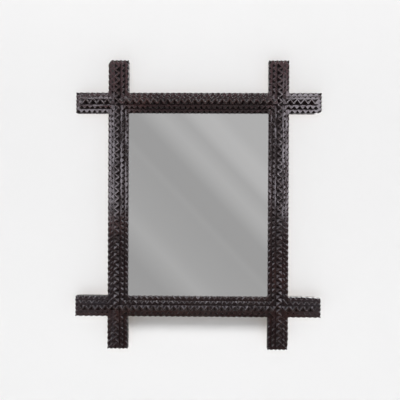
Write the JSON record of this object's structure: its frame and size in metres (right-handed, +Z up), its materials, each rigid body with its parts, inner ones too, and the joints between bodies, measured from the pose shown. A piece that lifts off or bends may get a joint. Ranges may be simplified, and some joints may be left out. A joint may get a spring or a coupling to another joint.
{
  "type": "tramp art mirror frame",
  "caption": "Wall mirror in a cross-cornered wooden frame built up of stepped layers with chip-carved zigzag edges, hung by a loose ring in a screw eye at the back.",
  "frame": {"origin": "in the plane of the frame's back, at the middle of the top rail, where the hanging eye is screwed in", "axes": "+Z up, +X to the right of someone who looks at the mirror, -Y out of the mirror towards them and +Y to the wall"},
  "size_m": [0.424, 0.0392, 0.499],
  "materials": {
    "dark_stained_wood": "dark brown stain under worn satin varnish",
    "looking_glass": "plain silvered plate",
    "old_paper": "aged brown",
    "bare_softwood": "unfinished, darkened with age",
    "iron": "dull, lightly rusted",
    "old_brass": "tarnished"
  },
  "bodies": {
    "frame": {"top_rail_board": "dark_stained_wood", "bottom_rail_board": "dark_stained_wood", "left_stile_board": "dark_stained_wood", "right_stile_board": "dark_stained_wood", "left_stile_middle": "dark_stained_wood", "right_stile_middle": "dark_stained_wood", "top_rail_middle": "dark_stained_wood", "bottom_rail_middle": "dark_stained_wood", "top_left_arm_middle": "dark_stained_wood", "top_right_arm_middle": "dark_stained_wood", "bottom_left_arm_middle": "dark_stained_wood", "bottom_right_arm_middle": "dark_stained_wood", "right_stile_ridge": "dark_stained_wood", "left_stile_ridge": "dark_stained_wood", "left_foot_ridge": "dark_stained_wood", "top_rail_ridge": "dark_stained_wood", "top_left_arm_ridge": "dark_stained_wood", "top_right_arm_ridge": "dark_stained_wood", "bottom_rail_ridge": "dark_stained_wood", "bottom_right_arm_ridge": "dark_stained_wood", "mirror_plate": "looking_glass", "backing_paper": "old_paper", "backboard": "bare_softwood", "backboard_sprigs": "iron", "corner_nails": "iron", "hanger_eye": "old_brass"},
    "ring": {"hanger_ring": "old_brass"}
  },
  "joints": [
    {"name": "ring_swing", "type": "hinge", "parent": "frame", "child": "ring", "pos_m": [0, 0.0052, 0], "axis": [1, 0, 0], "range_deg": [-15, 195]}
  ]
}
